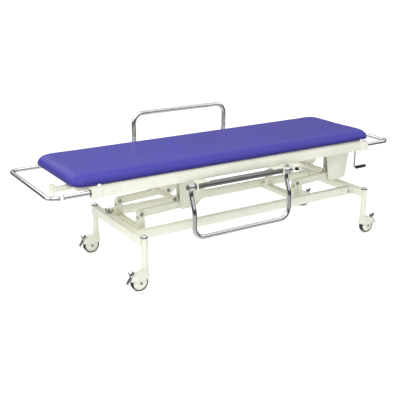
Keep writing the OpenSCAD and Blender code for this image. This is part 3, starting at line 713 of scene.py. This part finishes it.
MIDDLE = (0.0, 0.0, 0.5)
LIGHTS = [
    # name, place, target, size, watts
    ("key", (-2.2, -3.0, 3.6), MIDDLE, (2.6, 2.0), 46),
    ("fill", (3.4, -2.6, 2.2), MIDDLE, (2.4, 2.4), 11),
    ("head", (-4.2, 0.4, 1.9), MIDDLE, (2.4, 2.0), 28),
    ("back", (-1.6, 3.4, 2.9), (-0.5, 0.0, 0.6), (2.6, 1.4), 17),
    ("crest", (-0.7, -0.9, 2.6), (-0.9, -0.25, 0.6), (1.6, 0.6), 7),
]
# Brightness of the studio from straight down (0) over the horizon (0.5) to straight up (1)
STUDIO = [
    (0.10, (0.85, 0.86, 0.84)), (0.34, (0.62, 0.63, 0.61)), (0.41, (0.12, 0.125, 0.12)),
    (0.50, (0.03, 0.035, 0.035)), (0.58, (0.10, 0.105, 0.10)), (0.66, (0.80, 0.81, 0.80)),
    (0.85, (1.0, 1.0, 1.0)),
]
DARK_SCREEN = (0.04, 0.045, 0.045)
CAMERA_PLACE = (-2.1021, -3.1989, 1.5605)
CAMERA_YAW, CAMERA_PITCH, CAMERA_LENS = 1.0107, 0.3221, 64.05


def make_stage():
    """Pale floor that glows a little, so that it runs out into the white background."""
    bpy.ops.mesh.primitive_plane_add(size=60, location=((cad_lo.x + cad_hi.x) / 2, 0, cad_lo.z))
    floor = bpy.context.object
    floor.name = "floor"
    material, nodes, shader, place = surface("floor_look", (0.88, 0.88, 0.88), 0.65, specular=0.2)
    speck = nodes.noise(place, scale=1.5, detail=3.0)
    nodes.link(nodes.ramp(speck, [(0.3, 0.87), (0.7, 0.89)]), shader, "Base Color")
    shader.inputs["Emission Color"].default_value = (1, 1, 1, 1)
    shader.inputs["Emission Strength"].default_value = 0.42
    floor.data.materials.append(material)
    floor.visible_glossy = False


def make_world():
    """White studio for the eye; the chrome sees a pale floor, a dark horizon and soft boxes above.

    Towards the foot end a dark screen stands in for the low part of the studio.
    """
    world = bpy.data.worlds.new("studio")
    scene.world = world
    world.use_nodes = True
    nodes = Nodes(world.node_tree)
    ray = nodes.add("ShaderNodeTexCoord").outputs["Generated"]
    level = nodes.math("MULTIPLY", nodes.math("ADD", nodes.axis(ray, "Z"), 1.0), 0.5)
    band = nodes.ramp(level, STUDIO)
    low = nodes.ramp(level, [(0.60, 1.0), (0.68, 0.0)])
    foot_end = nodes.ramp(nodes.axis(ray, "X"), [(0.56, 0.0), (0.76, 1.0)])
    mirrored = nodes.mix(nodes.math("MULTIPLY", low, foot_end), band, DARK_SCREEN)
    soft = nodes.add("ShaderNodeBackground", {"Color": mirrored, "Strength": 0.87})
    white = nodes.add("ShaderNodeBackground", {"Color": (1, 1, 1, 1), "Strength": 1.0})
    seen = nodes.add("ShaderNodeLightPath").outputs["Is Camera Ray"]
    both = nodes.add("ShaderNodeMixShader", {0: seen, 1: soft.outputs[0], 2: white.outputs[0]})
    nodes.link(both.outputs[0], nodes.add("ShaderNodeOutputWorld"), "Surface")


def make_lights():
    for name, place, target, size, watts in LIGHTS:
        data = bpy.data.lights.new(name, "AREA")
        data.shape = "RECTANGLE"
        data.size, data.size_y = size
        data.energy = watts
        light = bpy.data.objects.new(name, data)
        light.location = place
        light.rotation_euler = (Vector(target) - Vector(place)).to_track_quat("-Z", "Y").to_euler()
        scene.collection.objects.link(light)


def make_camera():
    """Three-quarter view from the head end of the near side, a little above the mattress."""
    data = bpy.data.cameras.new("camera")
    camera = bpy.data.objects.new("camera", data)
    scene.collection.objects.link(camera)
    data.sensor_width = 36
    data.lens = CAMERA_LENS
    camera.location = CAMERA_PLACE
    level = math.cos(CAMERA_PITCH)
    ahead = Vector((math.cos(CAMERA_YAW) * level, math.sin(CAMERA_YAW) * level, -math.sin(CAMERA_PITCH)))
    camera.rotation_euler = ahead.to_track_quat("-Z", "Y").to_euler()
    scene.camera = camera


scene.view_settings.view_transform = "Standard"
make_camera()
make_stage()
make_world()
make_lights()
dress_cad_nodes()
soften_edges()
make_guard("near", upward=-1)
make_guard("far", upward=1)
make_leg_fittings()
make_beam_end()
make_rail_fittings()
make_wing_nut()
make_handle_joint()
make_mattress()
make_seam()
